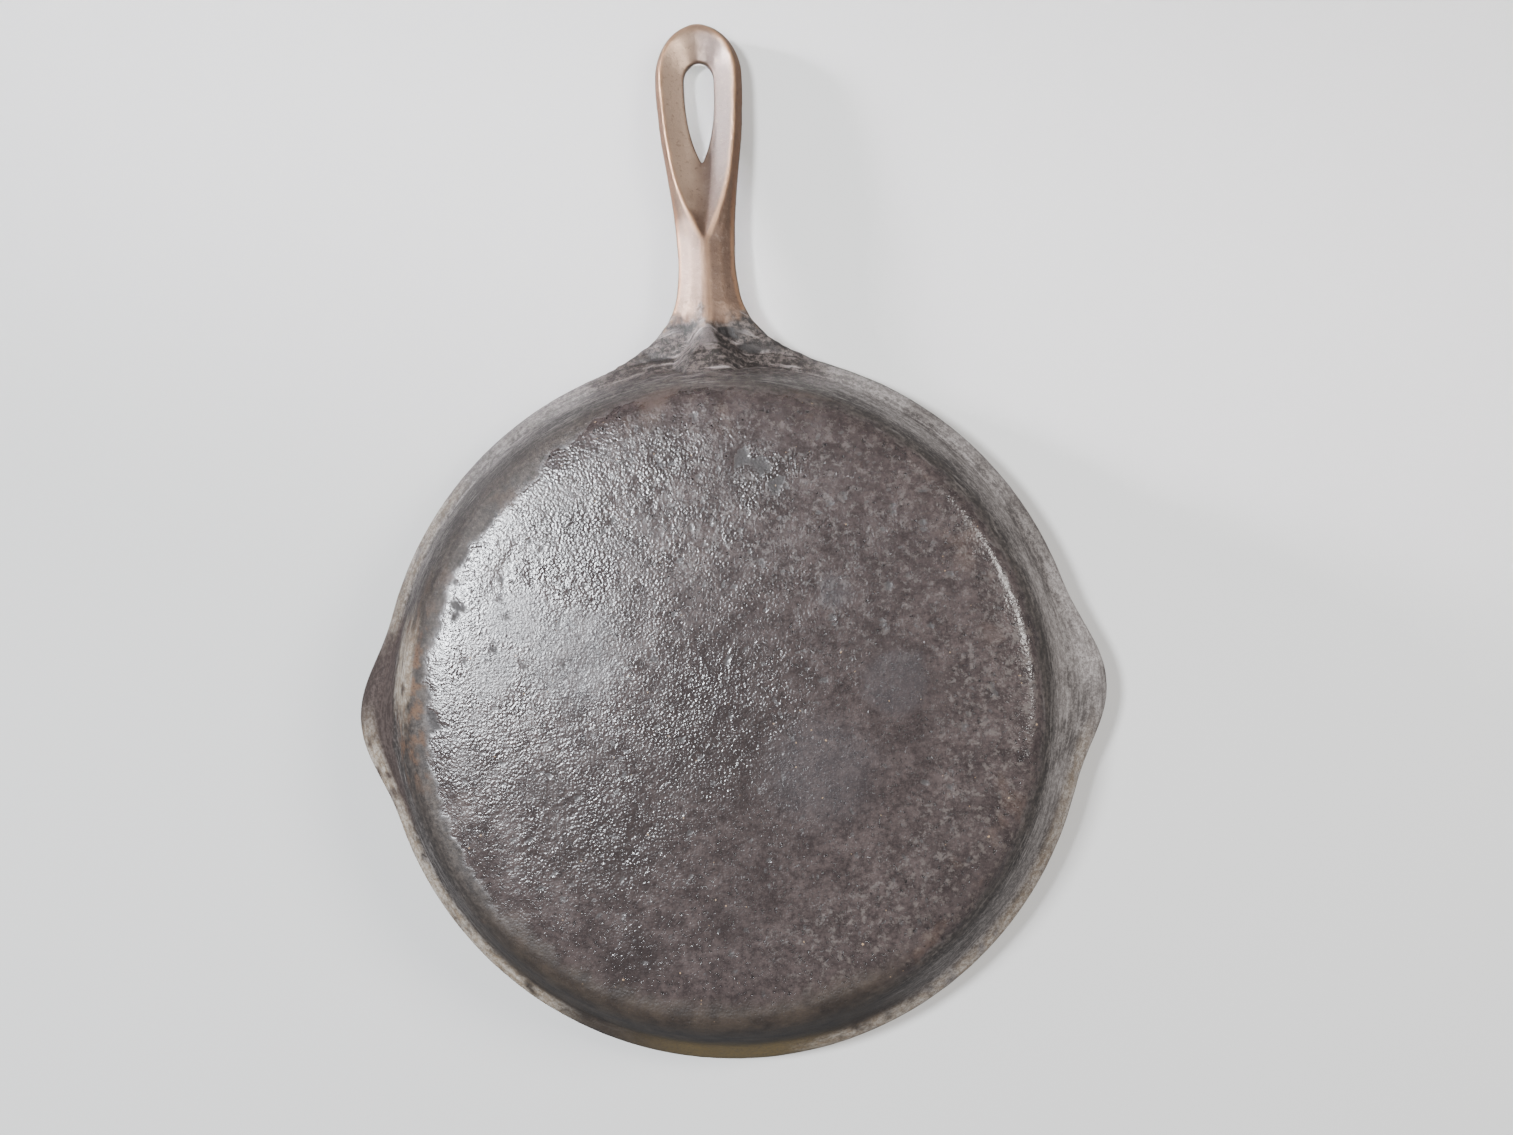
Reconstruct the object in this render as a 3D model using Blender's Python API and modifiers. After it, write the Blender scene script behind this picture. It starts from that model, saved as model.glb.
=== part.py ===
"""Cast iron skillet with two pour spouts and a hanging handle, in metres, at its real size.

The pan stands on its flat base on z = 0 and opens upwards (+Z). The origin is the centre of
the base, the handle points along -Y and the pour spouts along -X and +X.

The skillet is one casting. It is modelled as the zones of that casting: the floor, the rounded
heel, the flared wall, the rim band on either side of the spouts, the spouts, and the root, neck
and loop of the handle. Neighbouring zones keep a hairline gap.
"""

import math

import bmesh
import bpy

MM = 0.001

# Driving dimensions of the pan
RIM_RADIUS = 133.5 * MM  # outside of the rim band
DEPTH = 50.0 * MM  # from the base to the top of the rim
BASE_RADIUS = 108.0 * MM  # flat part of the base
HEEL_RADIUS = 116.0 * MM  # where the rounded heel meets the straight wall
HEEL_HEIGHT = 9.0 * MM
HEEL_TURN = 70.0  # degrees from the flat base to the wall
WALL_TOP_RADIUS = RIM_RADIUS - 7.0 * MM  # under the rim band
FLOOR_RADIUS = 102.0 * MM  # flat part of the cooking floor
FLOOR_THICKNESS = 3.6 * MM
WALL_THICKNESS = 3.2 * MM
RIM_THICKNESS = 4.8 * MM
BAND_HEIGHT = 9.0 * MM  # upright face of the rim band, with its rounded lip
BAND_BEVEL = 5.0 * MM  # height of the slope under the band
LIP_INSET = 4.3 * MM  # from the rim's outside in to the inner edge of the lip
LIP_EDGE_DROP = 0.3 * MM  # from the top of the rim down to that edge
LIP_FOOT_DROP = 1.5 * MM  # and down to the foot of the lip's rounding
BAND_INSIDE_DROP = 7.0 * MM  # and down to a point halfway along the band's inside

# Driving dimensions of the pour spouts
SPOUT_REACH = 9.0 * MM  # how far the spout's lip stands beyond the rim
SPOUT_HALF_ANGLE = 19.0  # degrees of rim on either side of the spout's middle
SPOUT_SHARPNESS = 3.3
SPOUT_BOTTOM = 18.0 * MM  # height where the bulge starts

# Driving dimensions of the handle; its "reach" is the distance from the pan's axis
HANDLE_REACH = 264.9 * MM
HANDLE_START = 118.0 * MM  # first section, inside the pan's wall
HANDLE_END_LENGTH = 21.5 * MM  # rounded end, half of an ellipse
HANDLE_TOP = 48.5 * MM  # height of the grip's top face where it leaves the rim
HANDLE_RISE = 0.07  # slope of the grip, rise over run
HANDLE_EDGE = 5.0 * MM  # thickness of the grip's side edges
THUMB_DISH = 0.6 * MM  # hollow along the top face
CREST_INSET = 2.7 * MM  # from the outline of the grip's end in to the crest
GUSSET_REACH = 152.0 * MM  # where the flanks start to hollow into a gusset under the root
GUSSET_LENGTH = 16.0 * MM
TROUGH_START = 175.4 * MM  # reach where the spine forks and the trough begins
TROUGH_LEAD = 4.0 * MM  # over which the trough deepens
TROUGH_DEPTH = 7.5 * MM  # deepest part of the trough under the grip
TROUGH_SHARES = (0.85, 0.7, 0.5, 0.25, 0.0)  # points across half of the trough

# Driving dimensions of the hanging eye, a teardrop with its point towards the pan
EYE_POINT_REACH = 208.0 * MM
EYE_WIDEST_REACH = 242.4 * MM
EYE_END_REACH = 249.9 * MM
EYE_HALF_WIDTH = 6.0 * MM
EYE_POINT_POWER = 2.8

# Where one zone of the casting ends and the next begins
GAP = 0.3 * MM
FLOOR_JOINT = 1.6 * GAP  # the same hairline, measured level across the slanted joint at the floor
HEEL_TOP = 12.0 * MM
BAND_BOTTOM = DEPTH - BAND_HEIGHT - BAND_BEVEL
INSIDE_HEIGHTS = (DEPTH - BAND_INSIDE_DROP, DEPTH - LIP_FOOT_DROP)  # points up the band's inside
ROOT_END = 157.0 * MM
NECK_END = 178.0 * MM

# How finely curved surfaces are divided
TURN_STEPS = 96
SPOUT_STEPS = 20
HEEL_STEPS = 5
EYE_STEPS = 14
WELD = 0.01 * MM  # points of a turned surface this close are one

# Half-width of the handle against its reach, as key stations
HALF_WIDTHS = [
    (118.0 * MM, 46.0 * MM),
    (126.0 * MM, 43.0 * MM),
    (130.0 * MM, 36.0 * MM),
    (134.0 * MM, 28.5 * MM),
    (138.0 * MM, 22.8 * MM),
    (147.0 * MM, 15.5 * MM),
    (156.0 * MM, 12.3 * MM),
    (169.0 * MM, 11.1 * MM),
    (184.0 * MM, 11.7 * MM),
    (203.0 * MM, 13.8 * MM),
    (222.0 * MM, 16.2 * MM),
    (238.0 * MM, 17.2 * MM),
]

# Thickness of the handle at its crest against its reach
THICKNESSES = [
    (118.0 * MM, 24.5 * MM),
    (124.0 * MM, 20.8 * MM),
    (134.0 * MM, 15.7 * MM),
    (143.0 * MM, 12.3 * MM),
    (158.0 * MM, 11.6 * MM),
    (200.0 * MM, 11.0 * MM),
    (235.0 * MM, 10.4 * MM),
    (256.0 * MM, 9.4 * MM),
    (264.9 * MM, 6.4 * MM),
]

# Distance of the underside's crest from the handle's middle. It spreads into a gusset at the
# wall, is one spine along the neck, and forks round the trough and the eye
CREST_OFFSETS = [
    (118.0 * MM, 9.5 * MM),
    (124.0 * MM, 8.0 * MM),
    (134.0 * MM, 4.0 * MM),
    (143.0 * MM, 0.9 * MM),
    (175.4 * MM, 0.9 * MM),
    (181.5 * MM, 3.2 * MM),
    (190.0 * MM, 6.9 * MM),
    (200.0 * MM, 10.2 * MM),
    (210.0 * MM, 12.2 * MM),
    (222.0 * MM, 13.5 * MM),
    (238.0 * MM, 14.5 * MM),
]


def clear_scene():
    for obj in list(bpy.data.objects):
        bpy.data.objects.remove(obj, do_unlink=True)


def new_collection(name):
    collection = bpy.data.collections.new(name)
    bpy.context.scene.collection.children.link(collection)
    return collection


def iron(name, colour, roughness, metallic):
    material = bpy.data.materials.new(name)
    material.use_nodes = True
    shader = material.node_tree.nodes["Principled BSDF"]
    shader.inputs["Base Color"].default_value = (*colour, 1.0)
    shader.inputs["Roughness"].default_value = roughness
    shader.inputs["Metallic"].default_value = metallic
    return material


def place(name, mesh, collection, material=None):
    obj = bpy.data.objects.new(name, mesh)
    collection.objects.link(obj)
    if material:
        mesh.materials.append(material)
    return obj


def smooth(obj, angle=30.0):
    obj.data.shade_smooth()
    obj.data.set_sharp_from_angle(angle=math.radians(angle))


def mix(a, b, share):
    return a + (b - a) * share


def ease(share):
    """0 to 1 with level ends."""
    share = min(1.0, max(0.0, share))
    return share * share * (3.0 - 2.0 * share)


def along(stations, at):
    """A smooth curve through the stations, level at any that is higher or lower than both neighbours."""
    if at <= stations[0][0]:
        return stations[0][1]
    if at >= stations[-1][0]:
        return stations[-1][1]
    slopes = [(b[1] - a[1]) / (b[0] - a[0]) for a, b in zip(stations, stations[1:])]
    tangents = [slopes[0]]
    for before, after in zip(slopes, slopes[1:]):
        same_way = before * after > 0.0
        tangents.append(2.0 * before * after / (before + after) if same_way else 0.0)
    tangents.append(slopes[-1])
    i = next(k for k in range(len(slopes)) if at <= stations[k + 1][0])
    (low, start), (high, end) = stations[i], stations[i + 1]
    span = high - low
    t = (at - low) / span
    return (
        start * (1 + 2 * t) * (1 - t) ** 2
        + end * t * t * (3 - 2 * t)
        + span * tangents[i] * t * (1 - t) ** 2
        - span * tangents[i + 1] * t * t * (1 - t)
    )


# The pan's wall, as radius against height


def heel_point(share):
    """Outer corner from the flat base (0) to the foot of the straight wall (1)."""
    whole = math.radians(HEEL_TURN)
    out = math.sin(share * whole) / math.sin(whole)
    up = (1 - math.cos(share * whole)) / (1 - math.cos(whole))
    return mix(BASE_RADIUS, HEEL_RADIUS, out), HEEL_HEIGHT * up


def wall_radius(height):
    """Outside of the straight wall."""
    return mix(HEEL_RADIUS, WALL_TOP_RADIUS, (height - HEEL_HEIGHT) / (BAND_BOTTOM - HEEL_HEIGHT))


def inner_radius(height):
    """Inside of the wall, which thickens a little towards the rim."""
    share = (height - HEEL_HEIGHT) / (DEPTH - HEEL_HEIGHT)
    outside = mix(HEEL_RADIUS - 0.4 * MM, RIM_RADIUS - 1.8 * MM, share)
    return outside - mix(WALL_THICKNESS, RIM_THICKNESS, max(0.0, height / DEPTH))


def band_outline():
    """Outside of the rim band from its lower edge up to the middle of the lip."""
    top = BAND_BOTTOM + BAND_BEVEL
    return [
        (WALL_TOP_RADIUS, BAND_BOTTOM),
        (RIM_RADIUS - 1.9 * MM, top - 0.5 * MM),
        (RIM_RADIUS - 0.5 * MM, top + 0.8 * MM),
        (RIM_RADIUS, top + 3.0 * MM),
        (RIM_RADIUS - 0.1 * MM, DEPTH - 2.6 * MM),
        (RIM_RADIUS - 0.7 * MM, DEPTH - 0.9 * MM),
        (RIM_RADIUS - 2.0 * MM, DEPTH - 0.1 * MM),
        (RIM_RADIUS - 3.2 * MM, DEPTH),
    ]


def floor_profile():
    return [
        (0.0, FLOOR_THICKNESS),
        (FLOOR_RADIUS, FLOOR_THICKNESS),
        (BASE_RADIUS, 0.0),
        (0.0, 0.0),
    ]


def heel_profile():
    """The outer corner, then back up its inner corner, which is a fillet of its own."""
    outside = [heel_point(step / HEEL_STEPS) for step in range(HEEL_STEPS + 1)]
    outside.append((wall_radius(HEEL_TOP), HEEL_TOP))
    outside[0] = (BASE_RADIUS + FLOOR_JOINT, 0.0)
    start, end = FLOOR_RADIUS + FLOOR_JOINT, inner_radius(HEEL_TOP)
    inside = []
    for step in range(HEEL_STEPS + 1):
        turn = step / HEEL_STEPS * math.pi / 2
        radius = mix(start, end, math.sin(turn))
        inside.append((radius, mix(FLOOR_THICKNESS, HEEL_TOP, 1 - math.cos(turn))))
    return list(reversed(outside)) + inside


def wall_profile():
    low, high = HEEL_TOP + GAP, BAND_BOTTOM - GAP
    middle = mix(low, high, 0.5)
    heights = [high, middle, low]
    outside = [(wall_radius(height), height) for height in heights]
    inside = [(inner_radius(height), height) for height in reversed(heights)]
    return outside + inside


def band_profile():
    inside = [(inner_radius(height), height) for height in (BAND_BOTTOM, *INSIDE_HEIGHTS)]
    lip = [(RIM_RADIUS - LIP_INSET, DEPTH - LIP_EDGE_DROP)]
    return list(reversed(band_outline())) + inside + lip


def profile_edges(points, closed):
    mesh = bpy.data.meshes.new("profile")
    edges = [(i, i + 1) for i in range(len(points) - 1)]
    if closed:
        edges.append((len(points) - 1, 0))
    mesh.from_pydata([(radius, 0.0, height) for radius, height in points], edges, [])
    return mesh


def turned(name, points, closed, collection, material=None):
    """A profile at +X, running down its outer side, turned round the pan's axis."""
    mesh = profile_edges(points, closed)
    mesh.name = name
    obj = place(name, mesh, collection, material)
    screw = obj.modifiers.new("Turn", "SCREW")
    screw.angle = math.tau
    screw.steps = TURN_STEPS
    screw.render_steps = TURN_STEPS
    screw.use_merge_vertices = True
    screw.merge_threshold = WELD
    return obj


def prism(name, outline, low, high, collection):
    """An outline in plan, drawn anticlockwise, raised from low to high."""
    shape = bmesh.new()
    corners = [shape.verts.new((x, y, low)) for x, y in outline]
    face = shape.faces.new(corners)
    raised = bmesh.ops.extrude_face_region(shape, geom=[face])
    top = [item for item in raised["geom"] if isinstance(item, bmesh.types.BMVert)]
    bmesh.ops.translate(shape, verts=top, vec=(0.0, 0.0, high - low))
    bmesh.ops.recalc_face_normals(shape, faces=shape.faces)
    mesh = bpy.data.meshes.new(name)
    shape.to_mesh(mesh)
    shape.free()
    cutter = place(name, mesh, collection)
    cutter.hide_render = True
    cutter.display_type = "WIRE"
    return cutter


def boolean(obj, cutter, operation):
    modifier = obj.modifiers.new(cutter.name, "BOOLEAN")
    modifier.operation = operation
    modifier.object = cutter
    modifier.solver = "EXACT"


def wedge(name, middle, half_angle, low, high, collection):
    """A slice of a disc in plan, with its point on the pan's axis."""
    outer = 1.5 * RIM_RADIUS
    turns = [math.radians(middle + side * half_angle) for side in (-1.0, -0.33, 0.33, 1.0)]
    outline = [(0.0, 0.0)] + [(outer * math.cos(turn), outer * math.sin(turn)) for turn in turns]
    return prism(name, outline, low, high, collection)


def spout_bulge(turn, height):
    """How far the wall stands out at an angle from the spout's middle, in degrees, and a height."""
    aside = 1.0 - (turn / SPOUT_HALF_ANGLE) ** 2
    if aside <= 0.0:
        return 0.0
    return SPOUT_REACH * aside**SPOUT_SHARPNESS * ease((height - SPOUT_BOTTOM) / (DEPTH - SPOUT_BOTTOM))


def spout_section():
    """The wall's section from the foot of the spout to the lip and back down inside."""
    low = SPOUT_BOTTOM + GAP
    heights = [mix(low, BAND_BOTTOM, step / 4) for step in range(4)]
    outside = [(wall_radius(height), height) for height in heights] + band_outline()
    inner_heights = [*reversed(INSIDE_HEIGHTS), BAND_BOTTOM, *reversed(heights)]
    lip = [(RIM_RADIUS - LIP_INSET, DEPTH - LIP_EDGE_DROP)]
    return outside + lip + [(inner_radius(height), height) for height in inner_heights]


def loft(name, rings, collection, material):
    """Faces between rings of equal length, with both ends capped."""
    shape = bmesh.new()
    rows = [[shape.verts.new(point) for point in ring] for ring in rings]
    count = len(rows[0])
    for row, following in zip(rows, rows[1:]):
        for i in range(count):
            j = (i + 1) % count
            shape.faces.new((row[i], row[j], following[j], following[i]))
    shape.faces.new(rows[0])
    shape.faces.new(rows[-1])
    bmesh.ops.recalc_face_normals(shape, faces=shape.faces)
    mesh = bpy.data.meshes.new(name)
    shape.to_mesh(mesh)
    shape.free()
    return place(name, mesh, collection, material)


def make_spout(name, middle, collection, material):
    """The wall's section swept across the spout and pushed out by the bulge."""
    section = spout_section()
    rings = []
    for step in range(SPOUT_STEPS + 1):
        turn = mix(-SPOUT_HALF_ANGLE, SPOUT_HALF_ANGLE, step / SPOUT_STEPS)
        angle = math.radians(middle + turn)
        ring = []
        for radius, height in section:
            reach = radius + spout_bulge(turn, height)
            ring.append((reach * math.cos(angle), reach * math.sin(angle), height))
        rings.append(ring)
    spout = loft(name, rings, collection, material)
    smooth(spout)
    return spout


# The handle, as sections across it at a reach from the pan's axis


def half_width(reach):
    end_start = HANDLE_REACH - HANDLE_END_LENGTH
    if reach <= end_start:
        return along(HALF_WIDTHS, reach)
    share = (reach - end_start) / HANDLE_END_LENGTH
    return HALF_WIDTHS[-1][1] * math.sqrt(max(0.0, 1.0 - share * share))


def handle_top(reach):
    return HANDLE_TOP + HANDLE_RISE * (reach - RIM_RADIUS)


def handle_section(reach):
    """Points round the handle: over the top, round the edge and across the crests below.

    The trough between the crests ends in a round bowl, as deep at any point as its distance
    from the bowl's rim allows.
    """
    wide, top = half_width(reach), handle_top(reach)
    thick = along(THICKNESSES, reach)
    bottom = top - thick
    edge = top - min(HANDLE_EDGE, 0.7 * thick)
    crest = min(along(CREST_OFFSETS, reach), max(wide - CREST_INSET, 0.5 * wide))
    trough = min(TROUGH_DEPTH, 0.55 * along(CREST_OFFSETS, reach))
    trough *= ease((reach - TROUGH_START) / TROUGH_LEAD)
    bowl_start = HANDLE_REACH - HANDLE_END_LENGTH
    bowl = min(1.0, max(0.0, (reach - bowl_start) / (HANDLE_END_LENGTH - CREST_INSET)))
    hollow = ease((GUSSET_REACH - reach) / GUSSET_LENGTH)
    half = [
        (0.0, top - THUMB_DISH),
        (0.45 * wide, top - 0.7 * THUMB_DISH),
        (0.80 * wide, top),
        (0.94 * wide, top - 0.8 * MM),
        (wide, mix(top, edge, 0.55)),
        (0.96 * wide, edge),
        (mix(0.96 * wide, crest, mix(0.5, 0.72, hollow)), mix(edge, bottom, mix(0.58, 0.22, hollow))),
        (crest, bottom),
    ]
    for share in TROUGH_SHARES:
        out = math.sqrt(share**2 * (1 - bowl**2) + bowl**2)
        half.append((share * crest, bottom + trough * math.cos(out * math.pi / 2)))
    other_half = [(-x, z) for x, z in reversed(half[1:-1])]
    return [(x, -reach, z) for x, z in half + other_half]


def handle_piece(name, reaches, collection, material):
    piece = loft(name, [handle_section(reach) for reach in reaches], collection, material)
    smooth(piece)
    return piece


def evenly(start, end, steps):
    return [mix(start, end, step / steps) for step in range(steps + 1)]


def eye_outline():
    """The teardrop in plan: a half-ellipse at the handle's end and tapering sides to a point."""
    round_length = EYE_END_REACH - EYE_WIDEST_REACH
    taper_length = EYE_WIDEST_REACH - EYE_POINT_REACH
    side = []
    for step in range(EYE_STEPS):
        share = step / EYE_STEPS
        reach = EYE_WIDEST_REACH + round_length * math.cos(share * math.pi / 2)
        side.append((EYE_HALF_WIDTH * math.sin(share * math.pi / 2), -reach))
    for step in range(EYE_STEPS + 1):
        share = step / EYE_STEPS
        width = EYE_HALF_WIDTH * (1 - share**EYE_POINT_POWER)
        side.append((width, taper_length * share - EYE_WIDEST_REACH))
    return side + [(-x, y) for x, y in reversed(side[1:-1])]


def pan_clearance(collection):
    """The pan's outer shape with a hairline all round, to cut the handle's root to."""
    outside = [heel_point(step / HEEL_STEPS) for step in range(HEEL_STEPS + 1)]
    points = outside + band_outline()[:-1]
    raised = [(radius + GAP, height) for radius, height in points]
    raised[0] = (BASE_RADIUS, -GAP)
    above = 1.5 * DEPTH
    profile = [(0.0, above), (raised[-1][0], above), *reversed(raised), (0.0, -GAP)]
    cutter = turned("pan_clearance", profile, False, collection)
    cutter.hide_render = True
    cutter.display_type = "WIRE"
    return cutter


def make_floor(collection, material):
    return turned("pan_floor", floor_profile(), False, collection, material)


def make_heel(collection, material):
    return turned("base_heel", heel_profile(), True, collection, material)


def make_wall(collection, cutters, material):
    wall = turned("side_wall", wall_profile(), True, collection, material)
    spare = math.degrees(GAP / wall_radius(SPOUT_BOTTOM))
    for side, middle in (("left", 180.0), ("right", 0.0)):
        notch = wedge(
            f"{side}_spout_notch", middle, SPOUT_HALF_ANGLE + spare, SPOUT_BOTTOM, DEPTH, cutters
        )
        boolean(wall, notch, "DIFFERENCE")


def make_bands(collection, cutters, material):
    spare = math.degrees(GAP / wall_radius(SPOUT_BOTTOM))
    half_angle = 90.0 - SPOUT_HALF_ANGLE - spare
    for name, middle in (("rim_band_handle_side", -90.0), ("rim_band_far_side", 90.0)):
        band = turned(name, band_profile(), True, collection, material)
        share = wedge(f"{name}_share", middle, half_angle, 0.0, 2 * DEPTH, cutters)
        boolean(band, share, "INTERSECT")


def make_handle(collection, cutters, material):
    root = handle_piece("handle_root", evenly(HANDLE_START, ROOT_END, 15), collection, material)
    boolean(root, pan_clearance(cutters), "DIFFERENCE")
    handle_piece("handle_neck", evenly(ROOT_END + GAP, NECK_END, 4), collection, material)
    end_start = HANDLE_REACH - HANDLE_END_LENGTH
    quarter = [math.radians(angle) for angle in range(9, 82, 9)] + [math.radians(86.0)]
    end = [end_start + HANDLE_END_LENGTH * math.sin(turn) for turn in quarter]
    loop_reaches = evenly(NECK_END + GAP, end_start, 12) + end
    loop = handle_piece("handle_loop", loop_reaches, collection, material)
    eye = prism("hanging_eye", eye_outline(), 0.0, 2 * DEPTH, cutters)
    boolean(loop, eye, "DIFFERENCE")


def main():
    clear_scene()
    skillet = new_collection("cast_iron_skillet")
    cutters = new_collection("cutters")
    base_iron = iron("carbonised base", (0.040, 0.037, 0.042), 0.48, 0.35)
    heel_iron = iron("worn heel", (0.105, 0.082, 0.070), 0.62, 0.25)
    wall_iron = iron("streaked wall", (0.100, 0.096, 0.094), 0.60, 0.30)
    band_iron = iron("bare rim band", (0.240, 0.225, 0.205), 0.58, 0.40)
    spout_iron = iron("chalky spout", (0.190, 0.180, 0.172), 0.66, 0.30)
    handle_iron = iron("seasoned handle", (0.090, 0.062, 0.048), 0.36, 0.55)
    make_floor(skillet, base_iron)
    make_heel(skillet, heel_iron)
    make_wall(skillet, cutters, wall_iron)
    make_bands(skillet, cutters, band_iron)
    make_spout("pour_spout_left", 180.0, skillet, spout_iron)
    make_spout("pour_spout_right", 0.0, skillet, spout_iron)
    make_handle(skillet, cutters, handle_iron)


main()
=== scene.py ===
"""Cast iron skillet: the looks of the casting, its surface, the stage and the camera.

The skillet is one casting, so two pieces stand for its CAD zones: the pan with its spouts, and
the handle with its root. Shapes are worked out in millimetres, in the part's own frame, and
become metres when a mesh is made. The origin is the centre of the base, the handle points
along -Y and the pour spouts along -X and +X.
"""

import math
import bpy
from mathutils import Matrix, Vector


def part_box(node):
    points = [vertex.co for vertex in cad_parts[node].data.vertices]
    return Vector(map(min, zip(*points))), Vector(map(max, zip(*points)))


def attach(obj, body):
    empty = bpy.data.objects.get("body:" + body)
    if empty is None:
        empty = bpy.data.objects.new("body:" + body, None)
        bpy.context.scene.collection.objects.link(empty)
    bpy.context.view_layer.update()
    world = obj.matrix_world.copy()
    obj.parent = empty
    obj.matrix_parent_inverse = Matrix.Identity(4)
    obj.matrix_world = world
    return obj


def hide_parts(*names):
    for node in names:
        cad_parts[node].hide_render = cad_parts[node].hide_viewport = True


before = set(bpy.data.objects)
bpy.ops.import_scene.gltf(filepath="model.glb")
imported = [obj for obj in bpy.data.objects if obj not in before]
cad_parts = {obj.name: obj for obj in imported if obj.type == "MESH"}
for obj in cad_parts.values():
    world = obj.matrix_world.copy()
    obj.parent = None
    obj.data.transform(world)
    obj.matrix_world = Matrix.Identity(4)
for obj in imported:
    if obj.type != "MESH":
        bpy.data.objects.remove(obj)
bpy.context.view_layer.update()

from types import SimpleNamespace

import bmesh
import bpy
import numpy as np
from mathutils import Vector

MM = 0.001

# The pan, as in the CAD model
RIM_RADIUS = 133.5
DEPTH = 50.0
BASE_RADIUS = 108.0
FLOOR_RADIUS = 102.0
FLOOR_THICKNESS = 3.6
WALL_THICKNESS = 3.2
RIM_THICKNESS = 4.8
HEEL_HEIGHT = 9.0
HEEL_RADIUS = 116.0
HEEL_TURN = 70.0
HEEL_TOP = 12.0
WALL_TOP_RADIUS = RIM_RADIUS - 7.0
BAND_BOTTOM = 36.0
SPOUT_REACH = 9.0
SPOUT_HALF_ANGLE = 19.0
SPOUT_SHARPNESS = 3.3
SPOUT_BOTTOM = 18.0

# The handle, as in the CAD model. Its reach is the distance from the pan's axis
HANDLE_START = 118.0
HANDLE_REACH = 264.9
HANDLE_END_LENGTH = 21.5
HANDLE_TOP = 48.5
HANDLE_RISE = 0.07
HANDLE_EDGE = 5.0
THUMB_DISH = 0.6
CREST_INSET = 2.7
GUSSET_REACH = 152.0
GUSSET_LENGTH = 16.0
TROUGH_START = 175.4
TROUGH_DEPTH = 7.5
EYE_POINT_REACH = 208.0
EYE_WIDEST_REACH = 242.4
EYE_END_REACH = 249.9
EYE_HALF_WIDTH = 6.0
EYE_POINT_POWER = 2.8
HALF_WIDTHS = [
    (HANDLE_START, 46.0),
    (126.0, 43.0),
    (130.0, 36.0),
    (134.0, 28.5),
    (138.0, 22.8),
    (147.0, 15.5),
    (156.0, 12.3),
    (169.0, 11.1),
    (184.0, 11.7),
    (203.0, 13.8),
    (222.0, 16.2),
    (238.0, 17.2),
]
THICKNESSES = [
    (HANDLE_START, 24.5),
    (124.0, 20.8),
    (134.0, 15.7),
    (143.0, 12.3),
    (158.0, 11.6),
    (200.0, 11.0),
    (235.0, 10.4),
    (256.0, 9.4),
    (264.9, 6.4),
]
CREST_OFFSETS = [
    (HANDLE_START, 9.5),
    (124.0, 8.0),
    (134.0, 4.0),
    (143.0, 0.9),
    (175.4, 0.9),
    (181.5, 3.2),
    (190.0, 6.9),
    (200.0, 10.2),
    (210.0, 12.2),
    (222.0, 13.5),
    (238.0, 14.5),
]

# The base is worn away a little towards its edge
WORN_FROM = 91.0
WORN_DEPTH = 1.3

# How finely the visual meshes are divided
TURN_STEPS = 640
OUTSIDE_STEP = 1.0
INSIDE_STEP = 3.0
VOXEL = 0.56 * MM
SMOOTHING_ROUNDS = 12
SMOOTHING_LOSS = 0.12 * MM
EDGE_CONVEXITY = 0.10

# The camera looks up at the base from almost straight below it
CAMERA_PLACE = Vector((41.8, -21.2, -524.0)) * MM
CAMERA_TURN = [math.radians(angle) for angle in (-177.28, -3.04, 3.05)]
CAMERA_LENS = 35.69


def mix(a, b, share):
    """A at 0 and b at 1."""
    return a + (b - a) * share


def ease(share):
    """0 to 1 with level ends."""
    share = min(1.0, max(0.0, share))
    return share * share * (3.0 - 2.0 * share)


def along(stations, at):
    """A smooth curve through the stations, level at any that is higher or lower than both neighbours."""
    if at <= stations[0][0]:
        return stations[0][1]
    if at >= stations[-1][0]:
        return stations[-1][1]
    slopes = [(b[1] - a[1]) / (b[0] - a[0]) for a, b in zip(stations, stations[1:])]
    tangents = [slopes[0]]
    for before, after in zip(slopes, slopes[1:]):
        same_way = before * after > 0.0
        tangents.append(2.0 * before * after / (before + after) if same_way else 0.0)
    tangents.append(slopes[-1])
    i = next(k for k in range(len(slopes)) if at <= stations[k + 1][0])
    (low, start), (high, end) = stations[i], stations[i + 1]
    span = high - low
    t = (at - low) / span
    return (
        start * (1 + 2 * t) * (1 - t) ** 2
        + end * t * t * (3 - 2 * t)
        + span * tangents[i] * t * (1 - t) ** 2
        - span * tangents[i + 1] * t * t * (1 - t)
    )


# The pan's surface: a profile of (radius, height) points turned round the axis


def heel_point(share):
    """Outer corner from the flat base (0) to the foot of the straight wall (1)."""
    whole = math.radians(HEEL_TURN)
    out = math.sin(share * whole) / math.sin(whole)
    up = (1 - math.cos(share * whole)) / (1 - math.cos(whole))
    return mix(BASE_RADIUS, HEEL_RADIUS, out), HEEL_HEIGHT * up


def inner_radius(height):
    """Radius of the pan's inside at a height."""
    share = (height - HEEL_HEIGHT) / (DEPTH - HEEL_HEIGHT)
    outside = mix(HEEL_RADIUS - 0.4, RIM_RADIUS - 1.8, share)
    return outside - mix(WALL_THICKNESS, RIM_THICKNESS, max(0.0, height / DEPTH))


def outside_profile():
    """From the middle of the base out, round the heel, up the wall and the rim band to the lip."""
    heel = [heel_point(step / 16) for step in range(17)]
    band = [
        (WALL_TOP_RADIUS, BAND_BOTTOM),
        (RIM_RADIUS - 1.9, DEPTH - 9.5),
        (RIM_RADIUS - 0.5, DEPTH - 8.2),
        (RIM_RADIUS, DEPTH - 6.0),
        (RIM_RADIUS - 0.1, DEPTH - 2.6),
        (RIM_RADIUS - 0.7, DEPTH - 0.9),
        (RIM_RADIUS - 2.0, DEPTH - 0.1),
    ]
    return [(0.0, 0.0)] + heel + band


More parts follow.
